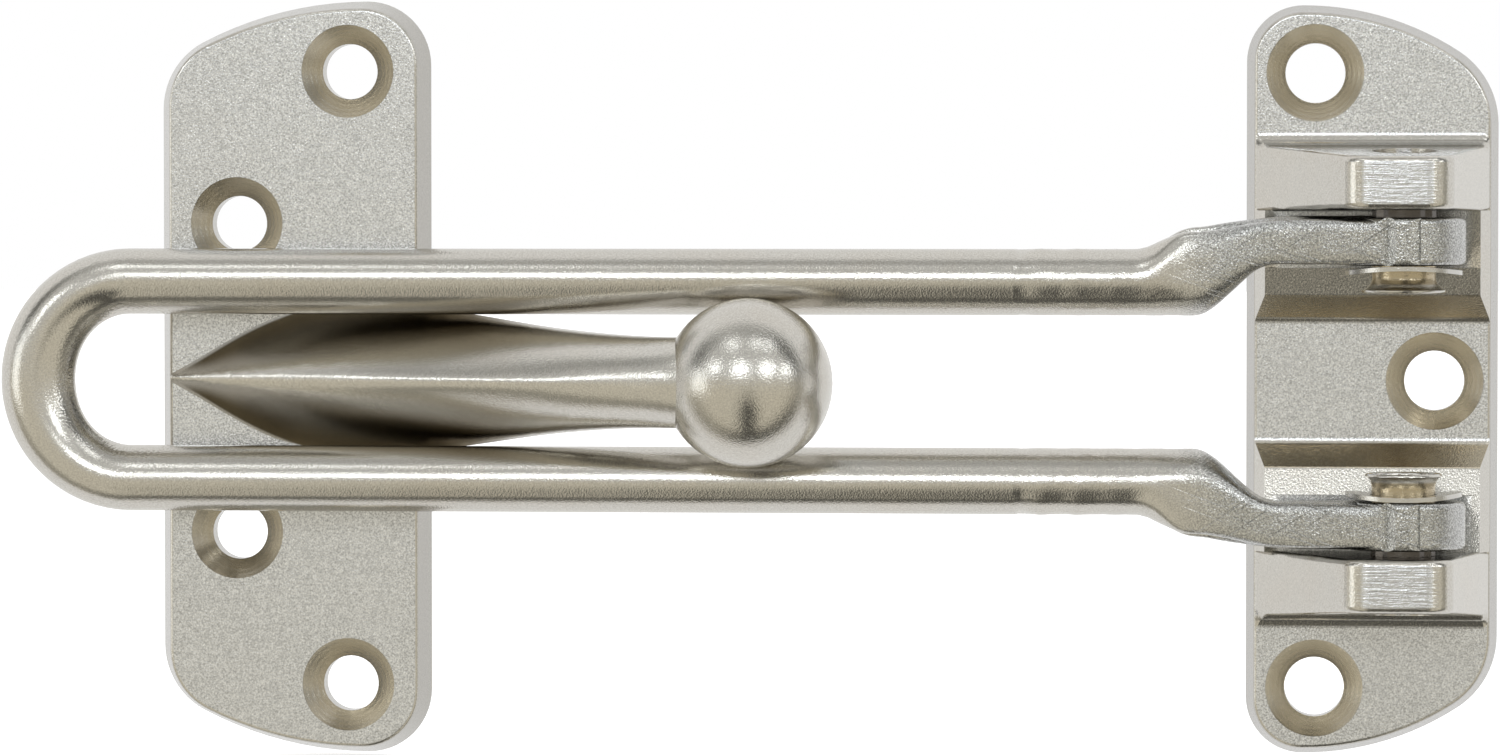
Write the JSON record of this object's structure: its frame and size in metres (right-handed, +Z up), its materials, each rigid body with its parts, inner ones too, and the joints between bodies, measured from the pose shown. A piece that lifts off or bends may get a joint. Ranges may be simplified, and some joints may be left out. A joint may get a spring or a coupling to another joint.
{
  "type": "swing bar door guard",
  "caption": "Door guard with a U-shaped bar hinged on an eared base plate, and a keeper plate whose ball runs in the bar's slot, so the door opens only a little.",
  "frame": {"origin": "middle of the base plate's back face, on the mounting plane", "axes": "+X along the bar from the ball plate towards the hinge base, +Y into the mounting plane, +Z up along the plates"},
  "size_m": [0.1379, 0.0234, 0.0702],
  "materials": {
    "base_casting": "satin nickel plating",
    "bar_casting": "satin nickel plating",
    "ball_casting": "satin nickel plating",
    "rivet": "satin",
    "washer": "satin"
  },
  "bodies": {
    "base": {"base_plate": "base_casting", "upper_rivet": "rivet", "lower_rivet": "rivet", "upper_spring_washer": "washer", "lower_spring_washer": "washer"},
    "bar": {"swing_bar": "bar_casting"},
    "keeper": {"ball_plate": "ball_casting"}
  },
  "joints": [
    {"name": "bar_swing", "type": "hinge", "parent": "base", "child": "bar", "pos_m": [0.0028, -0.011, 0], "axis": [0, 0, 1], "range_deg": [0, 180]},
    {"name": "ball_slide", "type": "slide", "parent": "bar", "child": "keeper", "axis": [1, 0, 0], "range_m": [-0.014, 0.042]}
  ]
}
